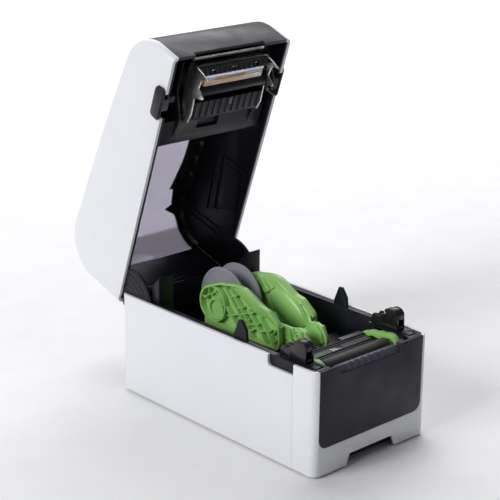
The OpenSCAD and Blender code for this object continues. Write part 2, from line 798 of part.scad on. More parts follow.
// Bezel inside the window: creased panels along both sides and a strip down the rear corner
module window_bezel() {
    panels = 4;
    step = 14.4;
    color([0.06, 0.06, 0.07]) lid_place() both_sides() {
        for (i = [0 : panels - 1]) intersection() {
            along_x([32.4 + 0.5 * i, 50.5]) polygon(lid_band(wall + 0.1, wall + 1.4 + 0.2 * i));
            block([0, half_w], [1.5 + i * step, 1.5 + (i + 1) * step], [100, 160]);
        }
        intersection() {
            along_x([43, 50.5]) polygon(lid_band(wall + 0.1, wall + 1.3));
            block([0, half_w], [-24, half_d + 4], [window_z - 6, 160]);
        }
    }
}

// ---- lid: inside ----------------------------------------------------------------------------

// Serrated bar that the labels are torn against
module tear_bar() {
    color([0.75, 0.74, 0.72]) lid_place() difference() {
        along_x(exit_x) polygon([[-97.4, 84], [-96.8, 84],
            [-96.8, 78], [-99.4, 77.2], [-99.4, 77.8], [-97.4, 78.5]]);
        for (x = [exit_x[0] + 0.5 : 2 : exit_x[1]])
            translate([x, -99.9, 76]) rotate([0, 0, 45]) cube([0.9, 0.9, 4]);
    }
}

// Black housing that carries the print head's pivot pins and reaches back under the top
module head_module() {
    color([0.08, 0.08, 0.09]) lid_place() {
        difference() {
            union() {
                along_x([-47.4, 47.4]) polygon([[-26, 128], [-29, 80.5], [-48, 80.5], [-48, 84],
                    [-32, 84], [-29, 128]]);
                along_x([-36.6, 36.6]) polygon([[-48, 83], [-54, 92], [-84, 92], [-84, 94],
                    [-52, 94], [-46, 84]]);
                both_sides() along_x([34.6, 36.6]) polygon([[-92, 86], [-90, 106],
                    [-50, 112], [-28, 100], [-28, 82], [-50, 77], [-70, 86]]);
                along_x([-31.8, 31.8]) polygon([[-67, 80.4], [-67, 78], [-51.4, 74.5],
                    [-51.4, 80], [-48, 82], [-48, 84], [-52, 84], [-54, 80.4]]);
            }
            block([-15, 5], [-47, -38], [78, 83.9]);
            rod_x([release_y, release_z], 2.6, [-52, 52]);
        }
        both_sides() rod_x([tilt_y, tilt_z], 2, [31.8, 35]);
    }
}

// Ribbed guide that faces the labels behind the head, with the sensor's hole
module upper_guide() {
    color([0.1, 0.1, 0.11]) lid_place() difference() {
        union() {
            block([-31.6, 31.6], [-66.4, -54.2], [71.2, 74]);
            along_x([-31.6, 31.6]) polygon([[-54.6, 71.2], [-54.6, 74], [-51.4, 74.4],
                [-51.4, 72.6]]);
            for (x = [-29.5 : 5.9 : 29.5]) block([x - 0.5, x + 0.5], [-66.4, -54.2], [70.5, 71.3]);
            both_sides() block([28, 31.6], [-66.4, -60], [73, 76.2]);
        }
        block([1, 4.2], [-66, -60], [70, 80]);
    }
}

// Light pipe of the gap sensor
module guide_lens() {
    color([0.6, 0.62, 0.7]) lid_place() block([1.1, 4.1], [-65.9, -60.1], [70.8, 73.8]);
}

// Circuit board of the buttons, under the top
module panel_board() {
    color([0.1, 0.35, 0.2]) lid_place() along_x([18, 48]) polygon([[-72, 116.6], [-72, 118.2],
        [-52, 121.2], [-52, 119.6]]);
}

// Button on the lid's top
module round_button(x, rgb) {
    color(rgb) lid_place() translate([x, button_y, 122.6]) {
        cylinder(r = 3.9, h = 6.6);
        cylinder(r = 4.9, h = 1.2);
    }
}

module power_button() {
    round_button(40, [0.2, 0.2, 0.22]);
}

module feed_button() {
    round_button(26, [0.2, 0.2, 0.22]);
}

// ---- lid: print head ------------------------------------------------------------------------

// Steel bracket of the print head: two hooked side plates, a front flange and a back plate
module head_bracket() {
    color([0.7, 0.67, 0.65]) lid_place() {
        both_sides() difference() {
            along_x([32.3, 33.3]) polygon(concat([[-93, 76], [-89.6, 62], [-88.5, 60.6]],
                arc([hook_y, hook_z], 5.7, 165, 90, 5), [[-79.4, 69.4], [-77.6, 66]],
                arc([-74.6, 65], 1.9, 180, 300, 5), [[-71.6, 69.6], [-70, 71.2], [-57.7, 70.5],
                [-50.4, 72.4], [-48.9, 76], [-49.2, 82.4], [-50, 83.2], [-90, 83.2],
                [-93, 80]]));
            rod_x([tilt_y, tilt_z], 2.05, [30, 36]);
        }
        block([-32.4, 32.4], [-93, -92.2], [76, 82]);
        block([-32.4, 32.4], [-92.6, -74], [82.2, 83.2]);
    }
}

// Aluminium heat sink behind the thermal head
module heat_sink() {
    color([0.6, 0.6, 0.62]) lid_place() {
        block([-29, 29], [-87.2, -78.9], [73.1, 76.2]);
        for (i = [0 : 4]) block([-29, 29], [-90 + i * 2.9, -88.6 + i * 2.9], [76.1, 82.1]);
        block([-29, 29], [-90, -77], [76.1, 77.2]);
    }
}

// Ceramic strip with the row of heaters
module print_head() {
    color([0.72, 0.6, 0.48]) lid_place() {
        block([-27, 27], [-87.2, -79], [71.1, 73]);
        block([-25, 25], [-83.6, -82.4], [70.2, 71.2]);
    }
}

// Black ribbed cover in front of the head and the guard behind it
module head_cover() {
    color([0.1, 0.1, 0.11]) lid_place() {
        difference() {
            along_x([-31, 31]) polygon([[-92, 72.6], [-87.4, 70.9], [-87.4, 73], [-90.2, 75.8],
                [-92, 75.8]]);
            for (x = [-20, 0, 20]) block([x - 3, x + 3], [-91.2, -88.6], [70, 74]);
        }
        for (x = [-27 : 4.5 : 27]) along_x([x - 0.5, x + 0.5]) polygon([[-91.8, 72.5],
            [-91.8, 71.9], [-87.6, 70.3], [-87.6, 71]]);
        along_x([-31, 31]) polygon(concat([[-78.6, 73], [-78.8, 71.4]],
            arc([-74.4, 72], 3, 240, 330, 5), [[-71.4, 73.6], [-76.8, 76]]));
    }
}

// Coil springs that press the head on the platen, drawn at their pressed length
module head_springs() {
    color([0.7, 0.7, 0.72]) lid_place() for (x = [-18, 18]) translate([x, -80, 87.7]) difference() {
        cylinder(r = 3.6, h = 4.2);
        translate([0, 0, -1]) cylinder(r = 2.8, h = 6);
    }
}

// ---- lid: release ---------------------------------------------------------------------------

// Tab on the lid's side, with the arm to the shaft and the hook for the post
module release_tab() {
    color([0.33, 0.34, 0.37]) lid_place() difference() {
        union() {
            along_x([half_w + 0.3, half_w + 1.2]) polygon([[-78, 79], [-76, 77], [-55, 77],
                [-53, 79], [-53.6, 84.8], [-56, 86.8], [-75, 86.8], [-77.4, 84.8]]);
            along_x([half_w + 1, half_w + 2.4]) polygon([[-77, 79.4], [-75.4, 77.8], [-55.6, 77.8],
                [-54, 79.4], [-54.6, 84.2], [-56.4, 85.9], [-74.6, 85.9], [-76.4, 84.2]]);
            block([49.2, half_w + 1], [-69, -60], [78.2, 81.6]);
            along_x([48.9, 50.3]) polygon([[-69, 78.2], [-60, 78.2], [-60, 82], [-84, 99],
                [-90, 99], [-90, 94]]);
            along_x(hook_x) polygon([[-92, 94.2], [-92, 99.8], [-66, 99.8], [-64.6, 96],
                [-64.6, 80], [-69.3, 80], [-69.7, 82], [-69.7, 84.4], [-68.2, 85.4],
                [-68.2, 94.2]]);
            rod_x([release_y, release_z], 4.4, [hook_x[0], 50.3]);
        }
        rod_x([release_y, release_z], 2.2, [hook_x[0] - 1, 52]);
    }
}

module left_release_tab() {
    mirror([1, 0, 0]) release_tab();
}

module right_release_tab() {
    release_tab();
}

// Steel shaft that joins both tabs
module release_shaft() {
    color([0.7, 0.7, 0.72]) lid_place() rod_x([release_y, release_z], 2.2, [-50.2, 50.2]);
}

// Screws that hold the head module
module lid_screws() {
    color([0.6, 0.6, 0.62]) lid_place() both_sides() for (z = [96, 106])
        rod_x([-40, z], 2.4, [36.7, 38.6]);
}

main_chassis();
bottom_plate();
rubber_feet();
bottom_screws();
left_side_cover();
right_side_cover();
front_cover();
front_panel();
exit_chute();
rear_panel();
platen_frame();
left_latch_post();
right_latch_post();
rear_posts();
paper_guide_plate();
media_sensor();
platen_bearings();
platen_shaft();
platen_rubber();
platen_gear();
idler_gear();
stepper_motor();
motor_pinion();
main_board();
power_jack();
usb_port();
network_port();
hinge_pins();
left_platen_lever();
right_platen_lever();
left_roll_arm();
right_roll_arm();
left_arm_rack();
right_arm_rack();
arm_pinion();
left_disc();
right_disc();
lid_left_side();
lid_right_side();
lid_nose_cover();
lid_rear_frame();
lid_window();
lid_liner();
window_bezel();
tear_bar();
head_module();
upper_guide();
guide_lens();
panel_board();
power_button();
feed_button();
head_bracket();
heat_sink();
print_head();
head_cover();
head_springs();
left_release_tab();
right_release_tab();
release_shaft();
lid_screws();
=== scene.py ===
"""Looks of the desktop label printer: detailed shells, materials, light and camera."""
import json
import math
import bmesh
import bpy
from mathutils import Matrix, Vector


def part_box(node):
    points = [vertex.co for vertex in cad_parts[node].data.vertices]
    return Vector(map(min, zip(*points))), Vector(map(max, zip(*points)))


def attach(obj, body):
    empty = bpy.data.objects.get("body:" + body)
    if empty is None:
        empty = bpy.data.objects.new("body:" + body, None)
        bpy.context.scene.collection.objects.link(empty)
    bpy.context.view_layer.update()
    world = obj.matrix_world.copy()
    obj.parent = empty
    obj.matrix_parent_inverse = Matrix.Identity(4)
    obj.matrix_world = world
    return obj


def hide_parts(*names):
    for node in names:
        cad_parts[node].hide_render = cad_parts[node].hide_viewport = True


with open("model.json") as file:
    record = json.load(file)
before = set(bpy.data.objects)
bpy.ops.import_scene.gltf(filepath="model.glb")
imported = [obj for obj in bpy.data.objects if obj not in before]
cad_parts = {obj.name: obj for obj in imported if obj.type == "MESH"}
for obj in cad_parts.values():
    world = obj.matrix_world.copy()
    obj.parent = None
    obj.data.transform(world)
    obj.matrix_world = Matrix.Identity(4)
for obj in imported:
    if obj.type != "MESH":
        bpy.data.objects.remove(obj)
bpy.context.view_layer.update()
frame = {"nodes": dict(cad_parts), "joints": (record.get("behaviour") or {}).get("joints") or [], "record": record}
scene = bpy.context.scene

# ---- driving dimensions, in millimetres, mostly read from the frame --------------------------


def mm_box(node):
    """Lowest and highest corner of a CAD node, in millimetres."""
    low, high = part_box(node)
    return low * 1000, high * 1000


HINGE = next(j for j in frame["joints"] if j["name"] == "lid_hinge")
HINGE_Y, HINGE_Z = (1000 * v for v in HINGE["pos_m"][1:])
LID_OPEN = math.radians(max(HINGE["range_deg"]))
LID = (Matrix.Translation((0, HINGE_Y, HINGE_Z)) @ Matrix.Rotation(-LID_OPEN, 4, "X")
       @ Matrix.Translation((0, -HINGE_Y, -HINGE_Z)))
HALF_W = mm_box("right_side_cover")[1].x
HALF_D = mm_box("right_side_cover")[1].y
BASE_H = mm_box("front_cover")[1].z
WALL = 2.4
BODY_OF = {n: b for b, ns in frame["record"]["behaviour"]["bodies"].items() for n in ns}
SLOT_OF = {s["node"]: s["material_slot"] for s in frame["record"]["subparts"]}

# ---- materials -------------------------------------------------------------------------------


class Surface:
    """A node tree with short calls for the textures that a finish is made of."""

    def __init__(self, name):
        self.material = bpy.data.materials.new(name)
        self.material.use_nodes = True
        self.tree = self.material.node_tree
        self.shader = self.tree.nodes["Principled BSDF"]
        self.where = self.tree.nodes.new("ShaderNodeTexCoord").outputs["Object"]

    def set(self, **values):
        for key, value in values.items():
            self.shader.inputs[key.replace("_", " ")].default_value = value
        return self

    def link(self, a, b):
        self.tree.links.new(a, b)

    def stretched(self, factors):
        """Object coordinates scaled by a factor along each axis."""
        node = self.tree.nodes.new("ShaderNodeMapping")
        node.inputs["Scale"].default_value = factors
        self.link(self.where, node.inputs["Vector"])
        return node.outputs["Vector"]

    def noise(self, scale, detail=3.0, rough=0.5, vector=None):
        node = self.tree.nodes.new("ShaderNodeTexNoise")
        node.inputs["Scale"].default_value = scale
        node.inputs["Detail"].default_value = detail
        node.inputs["Roughness"].default_value = rough
        self.link(vector or self.where, node.inputs["Vector"])
        return node.outputs["Fac"]

    def spots(self, scale):
        node = self.tree.nodes.new("ShaderNodeTexVoronoi")
        node.inputs["Scale"].default_value = scale
        self.link(self.where, node.inputs["Vector"])
        return node.outputs["Distance"]

    def ramp(self, value, stops):
        """Colour ramp over value; stops are (place, colour) pairs."""
        node = self.tree.nodes.new("ShaderNodeValToRGB")
        ramp = node.color_ramp
        while len(ramp.elements) < len(stops):
            ramp.elements.new(0.5)
        for element, (place, colour) in zip(ramp.elements, stops):
            element.position = place
            element.color = (*colour, 1)
        self.link(value, node.inputs["Fac"])
        return node.outputs["Color"]

    def remap(self, value, low, high, from_low=0.3, from_high=0.7):
        node = self.tree.nodes.new("ShaderNodeMapRange")
        node.inputs["From Min"].default_value = from_low
        node.inputs["From Max"].default_value = from_high
        node.inputs["To Min"].default_value = low
        node.inputs["To Max"].default_value = high
        self.link(value, node.inputs["Value"])
        return node.outputs["Result"]

    def mixed(self, factor, a, b, mode="MIX"):
        node = self.tree.nodes.new("ShaderNodeMix")
        node.data_type = "RGBA"
        node.blend_type = mode
        for socket, value in (("Factor", factor), ("A", a), ("B", b)):
            target = next(s for s in node.inputs if s.name == socket and s.enabled)
            if hasattr(value, "default_value"):
                self.link(value, target)
            else:
                target.default_value = value
        return next(s for s in node.outputs if s.enabled)

    def bump(self, heights):
        """Chains bump nodes; heights are (value, depth in metres, strength)."""
        normal = None
        for value, depth, strength in heights:
            node = self.tree.nodes.new("ShaderNodeBump")
            node.inputs["Distance"].default_value = depth
            node.inputs["Strength"].default_value = strength
            self.link(value, node.inputs["Height"])
            if normal is not None:
                self.link(normal, node.inputs["Normal"])
            normal = node.outputs["Normal"]
        self.link(normal, self.shader.inputs["Normal"])


def shade(colour, factor):
    return tuple(min(1.0, c * factor) for c in colour)


def plastic(name, colour, rough, grain=1400, depth=0.00006, spread=0.06, **extra):
    """Moulded plastic: spark-eroded grain, faint flow marks, uneven gloss and dust-like specks."""
    s = Surface(name)
    flow = s.noise(22, 4, 0.55)
    specks = s.noise(2600, 2, 0.6)
    base = s.ramp(flow, [(0.3, shade(colour, 1 - spread)), (0.7, shade(colour, 1 + spread))])
    tint = s.ramp(specks, [(0.35, (0.93, 0.93, 0.93)), (0.65, (1, 1, 1))])
    s.link(s.mixed(1.0, base, tint, "MULTIPLY"), s.shader.inputs["Base Color"])
    s.link(s.remap(s.noise(60, 4), rough - 0.08, rough + 0.08), s.shader.inputs["Roughness"])
    s.bump([(s.noise(9, 2), 0.0004, 0.12), (s.noise(grain, 3, 0.6), depth, 0.35)])
    return s.set(**extra).material


def metal(name, colour, rough, brushed=(30, 1600, 1600), depth=0.00002):
    """Bare metal with brush lines, faint smears and uneven gloss."""
    s = Surface(name)
    lines = s.noise(1.0, 4, 0.6, s.stretched(brushed))
    smears = s.noise(90, 4, 0.6)
    s.link(s.ramp(smears, [(0.3, shade(colour, 0.82)), (0.7, shade(colour, 1.08))]),
           s.shader.inputs["Base Color"])
    s.link(s.remap(lines, rough - 0.08, rough + 0.12), s.shader.inputs["Roughness"])
    s.bump([(lines, depth, 0.4)])
    return s.set(Metallic=1.0).material


def rubber(name, colour, rough):
    """Ground rubber: fine tooth marks round the roller and a powdery haze."""
    s = Surface(name)
    haze = s.noise(70, 5, 0.6)
    tooth = s.noise(3200, 2, 0.5)
    s.link(s.ramp(haze, [(0.3, shade(colour, 0.8)), (0.75, shade(colour, 1.5))]),
           s.shader.inputs["Base Color"])
    s.link(s.remap(haze, rough - 0.1, rough + 0.1), s.shader.inputs["Roughness"])
    s.bump([(tooth, 0.00005, 0.4)])
    return s.material


def circuit(name):
    """Green board with copper tracks under the lacquer."""
    s = Surface(name)
    cells = s.spots(260)
    tracks = s.ramp(cells, [(0.12, (0.30, 0.42, 0.16)), (0.16, (0.02, 0.16, 0.07))])
    s.link(tracks, s.shader.inputs["Base Color"])
    s.link(s.remap(s.noise(120), 0.25, 0.45), s.shader.inputs["Roughness"])
    s.bump([(cells, 0.00003, 0.4)])
    return s.material


def glass(name, colour, rough, weight, painted_shade_below=None):
    """Tinted clear plastic with faint waves and fine scratches, painted darker below a given height as painted
    shade.
    """
    s = Surface(name)
    haze = s.noise(40, 4)
    lines = s.noise(1.0, 2, 0.5, s.stretched((900, 60, 60)))
    tint = s.ramp(haze, [(0.3, shade(colour, 0.95)), (0.7, shade(colour, 1.03))])
    if painted_shade_below is not None:
        # painted shade: below this height (object Z, metres) the tint is mixed to a dark lilac grey, standing in
        # for the darker view through the lower window
        split = s.tree.nodes.new("ShaderNodeSeparateXYZ")
        s.link(s.where, split.inputs["Vector"])
        step = s.remap(split.outputs["Z"], 1.0, 0.0, painted_shade_below - 0.0008, painted_shade_below + 0.0008)
        tint = s.mixed(step, tint, (0.17, 0.155, 0.19, 1))
    s.link(tint, s.shader.inputs["Base Color"])
    s.link(s.remap(haze, rough, rough + 0.08), s.shader.inputs["Roughness"])
    s.bump([(s.noise(14, 2), 0.0006, 0.08), (lines, 0.00001, 0.2)])
    return s.set(Transmission_Weight=weight, IOR=1.49).material


def ceramic_strip(name):
    """Thermal head's tan glaze with paler patches along it that are painted highlights."""
    s = Surface(name)
    painted_highlights = s.noise(1.0, 2, 0.4, s.stretched((75, 160, 160)))
    fine = s.noise(700, 3)
    # painted highlight: the paler tan and near-white stops stand in for highlights on the glaze
    tone = s.ramp(painted_highlights, [(0.45, (0.72, 0.47, 0.30)), (0.56, (0.82, 0.66, 0.52)),
                            (0.64, (0.92, 0.92, 0.95))])
    speck = s.ramp(fine, [(0.3, (0.86, 0.86, 0.86)), (0.7, (1, 1, 1))])
    s.link(s.mixed(1.0, tone, speck, "MULTIPLY"), s.shader.inputs["Base Color"])
    s.link(s.remap(fine, 0.15, 0.3), s.shader.inputs["Roughness"])
    s.bump([(fine, 0.00001, 0.3)])
    return s.material


FINISH = {
    "white_plastic": plastic("satin_white", (0.80, 0.81, 0.85), 0.42, 1500, 0.00004, 0.012),
    "nose_grey": plastic("nose_grey", (0.026, 0.026, 0.040), 0.44, 1500, 0.00005, 0.05,
                         Specular_IOR_Level=0.35),
    "panel_dark": plastic("panel_dark", (0.018, 0.018, 0.031), 0.5, 1300, 0.00007, 0.05,
                          Specular_IOR_Level=0.3),
    "chute_grey": plastic("chute_grey", (0.060, 0.060, 0.082), 0.42, 1400, 0.00005,
                          Specular_IOR_Level=0.35),
    "black_plastic": plastic("black_plastic", (0.008, 0.008, 0.014), 0.4, 1100, 0.00007, 0.1,
                             Specular_IOR_Level=0.3),
    "black_trim": plastic("black_trim", (0.014, 0.014, 0.018), 0.24, 1100, 0.00004, 0.1),
    "tab_grey": plastic("tab_grey", (0.024, 0.024, 0.031), 0.36, 1200, 0.00005,
                        Specular_IOR_Level=0.35),
    "green_plastic": plastic("green_plastic", (0.32, 0.60, 0.18), 0.33, 1200, 0.00005, 0.05),
    "disc_grey": plastic("disc_grey", (0.26, 0.27, 0.30), 0.5, 900, 0.00008, 0.04),
    "gear_plastic": plastic("gear_acetal", (0.80, 0.79, 0.74), 0.35, 1500, 0.00003, 0.03),
    "rubber": rubber("ground_rubber", (0.012, 0.012, 0.013), 0.6),
    "steel": metal("bright_steel", (0.78, 0.75, 0.73), 0.26),
    "aluminium": metal("milled_aluminium", (0.66, 0.67, 0.78), 0.4),
    "brass": metal("turned_brass", (0.72, 0.56, 0.25), 0.26),
    "motor_steel": metal("motor_steel", (0.30, 0.30, 0.32), 0.36),
    "pcb_green": circuit("circuit_board"),
    "port_metal": metal("tinned_port", (0.60, 0.60, 0.62), 0.28),
    "ceramic": ceramic_strip("head_glaze"),
    # the window's tint is painted darker below 0.093 m, a painted shade
    "smoked_window": glass("smoked_window", (0.40, 0.375, 0.46), 0.04, 1.0, 0.093),
    "lens": glass("sensor_lens", (0.12, 0.12, 0.17), 0.1, 0.5),
}

# ---- mesh helpers, in millimetres ------------------------------------------------------------


def arc(centre, r, a0, a1, n=12):
    """Points along an arc, angles in degrees."""
    steps = [math.radians(a0 + (a1 - a0) * i / n) for i in range(n + 1)]
    return [(centre[0] + r * math.cos(a), centre[1] + r * math.sin(a)) for a in steps]


ALONG = {
    "x": lambda u, v, w: (w, u, v),
    "z": lambda u, v, w: (u, v, w),
}


def new_mesh(name, verts, faces):
    mesh = bpy.data.meshes.new(name)
    mesh.from_pydata([tuple(c * 0.001 for c in v) for v in verts], [], faces)
    bm = bmesh.new()
    bm.from_mesh(mesh)
    bmesh.ops.remove_doubles(bm, verts=bm.verts, dist=1e-6)
    bmesh.ops.recalc_face_normals(bm, faces=bm.faces)
    bm.to_mesh(mesh)
    bm.free()
    obj = bpy.data.objects.new(name, mesh)
    scene.collection.objects.link(obj)
    return obj


def loft(name, rings, loop=False):
    """Skin through rings of equal length, capped; loop joins the last ring to the first."""
    n = len(rings[0])
    verts = [p for ring in rings for p in ring]
    count = len(rings)
    faces = []
    for k in range(count if loop else count - 1):
        a, b = k * n, (k + 1) % count * n
        faces += [(a + i, a + (i + 1) % n, b + (i + 1) % n, b + i) for i in range(n)]
    if not loop:
        faces += [tuple(range(n)), tuple(range((count - 1) * n, count * n))]
    return new_mesh(name, verts, faces)


def prism(name, outline, axis, w0, w1):
    """Extrudes an outline along an axis."""
    place = ALONG[axis]
    return loft(name, [[place(u, v, w) for u, v in outline] for w in (w0, w1)])


def block(name, x, y, z):
    return prism(name, [(x[0], y[0]), (x[1], y[0]), (x[1], y[1]), (x[0], y[1])], "z", z[0], z[1])


def rod(name, axis, centre, r, w0, w1, n=40):
    return prism(name, arc(centre, r, 0, 360 - 360 / n, n - 1), axis, w0, w1)


def turned(name, axis, centre, profile, n=64):
    """Ring of revolution; profile is a closed loop of (place along the axis, radius)."""
    place = ALONG[axis]
    rings = []
    for i in range(n):
        a = 2 * math.pi * i / n
        rings.append([place(centre[0] + r * math.cos(a), centre[1] + r * math.sin(a), w)
                      for w, r in profile])
    return loft(name, rings, loop=True)


def applied(obj):
    """Bakes the modifiers into the mesh."""
    graph = bpy.context.evaluated_depsgraph_get()
    graph.update()
    mesh = bpy.data.meshes.new_from_object(obj.evaluated_get(graph))
    obj.modifiers.clear()
    obj.data = mesh
    return obj


def cut(obj, *tools):
    """Takes the tools away from obj."""
    for tool in tools:
        m = obj.modifiers.new("cut", "BOOLEAN")
        m.operation = "DIFFERENCE"
        m.solver = "EXACT"
        m.object = tool
        applied(obj)
        bpy.data.objects.remove(tool)
    return obj


def merged(name, objs):
    """Joins loose solids into one mesh without boolean work."""
    bm = bmesh.new()
    for o in objs:
        bm.from_mesh(o.data)
        bpy.data.objects.remove(o)
    mesh = bpy.data.meshes.new(name)
    bm.to_mesh(mesh)
    bm.free()
    obj = bpy.data.objects.new(name, mesh)
    scene.collection.objects.link(obj)
    return obj


def mirrored(obj):
    """The same mesh on the other side of X = 0."""
    obj.data.transform(Matrix.Scale(-1, 4, (1, 0, 0)))
    obj.data.flip_normals()
    return obj


def softened(obj, width, segments=3, angle=35):
    """Rounds the edges sharper than angle with a real bevel."""
    m = obj.modifiers.new("edges", "BEVEL")
    m.width = width * 0.001
    m.segments = segments
    m.limit_method = "ANGLE"
    m.angle_limit = math.radians(angle)
    m.use_clamp_overlap = True
    return applied(obj)


def finished(obj, body, slot, place=None, smooth=40, nodes=()):
    """Places a piece, shades it, gives it its finish and rides it on its body."""
    if place is not None:
        m = place.copy()
        m.translation *= 0.001
        obj.data.transform(m)
    obj.data.shade_smooth()
    obj.data.set_sharp_from_angle(angle=math.radians(smooth))
    obj.data.materials.clear()
    obj.data.materials.append(FINISH[slot])
    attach(obj, body)
    if nodes:
        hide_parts(*nodes)
    return obj


def rounded_copy(node, width, segments=2, angle=40):
    """Stands for a CAD node with the same solid whose edges are rounded."""
    source = frame["nodes"][node]
    bm = bmesh.new()
    bm.from_mesh(source.data)
    bmesh.ops.remove_doubles(bm, verts=bm.verts, dist=2e-6)
    bmesh.ops.dissolve_limit(bm, angle_limit=math.radians(0.6), verts=bm.verts, edges=bm.edges)
    bmesh.ops.dissolve_degenerate(bm, dist=2e-6, edges=bm.edges)
    mesh = bpy.data.meshes.new(node + "_rounded")
    bm.to_mesh(mesh)
    bm.free()
    obj = bpy.data.objects.new(node + "_rounded", mesh)
    scene.collection.objects.link(obj)
    softened(obj, width, segments, angle)
    return finished(obj, BODY_OF[node], SLOT_OF[node], nodes=[node])


# ---- outlines and small solids ---------------------------------------------------------------


def eased(points, r, n=5):
    """Outline with each corner replaced by a curve that starts r before it."""
    out = []
    count = len(points)
    for i, corner in enumerate(points):
        b = Vector(corner)
        a, c = Vector(points[i - 1]) - b, Vector(points[(i + 1) % count]) - b
        p = b + a * min(r / a.length, 0.45)
        q = b + c * min(r / c.length, 0.45)
        for k in range(n + 1):
            t = k / n
            out.append(tuple(p * (1 - t) ** 2 + b * 2 * t * (1 - t) + q * t ** 2))
    return out


def inset(points, t):
    """Clockwise outline with each corner moved inwards by t."""
    out = []
    for i, corner in enumerate(points):
        a, b, c = Vector(points[i - 1]), Vector(corner), Vector(points[(i + 1) % len(points)])
        u, v = (b - a).normalized(), (c - b).normalized()
        nu, nv = Vector((u.y, -u.x)), Vector((v.y, -v.x))
        out.append(tuple(b + (nu + nv) * (t / (1 + nu.dot(nv)))))
    return out


def wall(name, p, q, x0, x1, t=1.3, draft=0.25):
    """Drafted rib between two [y, z] points, thinner at x1."""
    p, q = Vector(p), Vector(q)
    d = (q - p).normalized()
    n = Vector((-d.y, d.x))
    rings = []
    for x, half in ((x0, t / 2), (x1, t / 2 * (1 - draft))):
        rings.append([(x, *(p + n * half)), (x, *(q + n * half)),
                      (x, *(q - n * half)), (x, *(p - n * half))])
    return softened(loft(name, rings), 0.2, 2)


def dome(name, centre, turn, ru, rv, x, height, n=48, steps=10):
    """Half of a long egg on the plane x, its long radius turned from Y."""
    c, s = math.cos(math.radians(turn)), math.sin(math.radians(turn))
    rings = []
    for k in range(steps):
        a = math.radians(88 * k / (steps - 1))
        ring = []
        for i in range(n):
            b = 2 * math.pi * i / n
            u, v = ru * math.cos(a) * math.cos(b), rv * math.cos(a) * math.sin(b)
            ring.append((x + height * math.sin(a), centre[0] + u * c - v * s,
                         centre[1] + u * s + v * c))
        rings.append(ring)
    return loft(name, rings)


# ---- roll holder -----------------------------------------------------------------------------

AXLE = tuple(1000 * v for v in next(
    j for j in frame["joints"] if j["name"] == "right_disc_spin")["pos_m"][1:])
ARM_IN = 13.0
ARM_OUT = mm_box("right_roll_arm")[1].x
ARM_RIM = 1.7
ARM_EDGE = arc(AXLE, 14, 75, -80, 20) + [
    (30, 60), (-28, 60), (-30, 66), (-28.6, 79), (-17, 87.6), (-10, 88.5), (-2, 93), (7, 97.2),
    (16, 97.5), (34, 94.2)]
NOSE_IN, NOSE_OUT = 7.0, 9.6


def arm_shell():
    """Open tray of the arm: a wall round the edge, flared from a narrower inner face."""
    outer = eased(ARM_EDGE, 2.5)
    rings = [[(ARM_IN, *p) for p in inset(outer, 2.2)],
             [(ARM_IN + 0.5, *p) for p in inset(outer, 1.5)],
             [(ARM_IN + 2.6, *p) for p in inset(outer, 0.25)],
             [(ARM_IN + 3.2, *p) for p in outer],
             [(ARM_OUT, *p) for p in outer]]
    tray = loft("arm_shell", rings)
    pocket = eased(inset(ARM_EDGE, ARM_RIM), 2)
    cut(tray, prism("pocket", pocket, "x", ARM_IN + 1.2, ARM_OUT + 1))
    return softened(tray, 0.2, 2, 30)


def arm_outside():
    """Ribs, ring, labyrinth and boss in the tray's open side."""
    x0, top = ARM_IN + 1.1, ARM_OUT - 0.3
    y, z = AXLE
    parts = [softened(turned("ring", "x", AXLE, [(x0, 12.4), (x0, 13.9), (top, 13.7), (top, 12.6)]),
                      0.2, 2)]
    # boss over the axle with the stepped walls above it
    parts.append(softened(rod("boss", "x", (y - 3, z - 3.6), 6.6, x0, ARM_OUT - 2.6), 0.7, 3))
    rim = [(x0, 6.4), (x0, 7.8), (ARM_OUT - 1.2, 7.6), (ARM_OUT - 1.2, 6.7)]
    parts.append(softened(turned("boss_rim", "x", (y - 3, z - 3.6), rim), 0.15, 2))
    steps = [[(4.8, 12.2), (4.9, 6.0), (0.6, 8.2), (-1.4, 8.6)], [(-2.4, 12.2), (-3.4, 8.2),
             (-6.6, 9.4), (-9.4, 5.0)], [(12.2, 3.4), (8.2, 2.2), (6.6, 4.4)],
             [(-12.3, 2.0), (-8.8, 0.6), (-6.4, 2.4)]]
    for path in steps:
        for p, q in zip(path, path[1:]):
            parts.append(wall("step", (y + p[0], z + p[1]), (y + q[0], z + q[1]), x0,
                              top - 0.5, 1.0))
    # long ribs, high at the rear and low at the front; each is named by y - z
    for lead, z_high, z_low in ((-50.8, 77.5, 61.5), (-63.0, 91.6, 61.5), (-69.2, 91.8, 70.5),
                                (-77.6, 81.6, 61.5), (-87.0, 79.0, 61.5)):
        parts.append(wall("rib", (z_high + lead, z_high), (z_low + lead, z_low), x0, top, 1.3))
    # short ribs between the long ones
    for lead0, lead1, middle in ((-63.0, -69.2, 87), (-63.0, -69.2, 80), (-63.0, -69.2, 73),
                                 (-69.2, -77.6, 78.5), (-69.2, -77.6, 72), (-50.8, -63.0, 74),
                                 (-77.6, -87.0, 70), (-50.8, -63.0, 64.5)):
        half = (lead0 - lead1) / 4
        a = (lead0 + middle + half, middle - half)
        b = (lead1 + middle - half, middle + half)
        parts.append(wall("stub", a, b, x0, top - 0.8, 1.1))
    # smooth web that slopes in from the top edge
    high = [(23.4, 94.2), (8, 95.2), (-2, 91.0), (-10, 86.6), (-17.4, 85.6), (-24.4, 80.2),
            (-29.2, 77.6)]
    low = [(19.4, 90.8), (8, 85.0), (0, 80.4), (-8, 79.2), (-13.6, 80.2), (-20.6, 77),
           (-28.4, 74)]
    rings = []
    for h, l in zip(high, low):
        rings.append([(x0, *h), (ARM_OUT - 1.5, *h), (ARM_OUT - 3.4, *l), (x0, *l)])
    parts.append(softened(loft("web", rings), 0.25, 2, 25))
    # ledge where the shell turns in to the nose
    parts.append(wall("ridge", (-28.0, 78.0), (-21.4, 69.4), x0, top, 1.4))
    parts.append(wall("ridge", (-28.6, 70.6), (-22.4, 64.4), x0, ARM_OUT - 1.4, 1.2))
    return parts


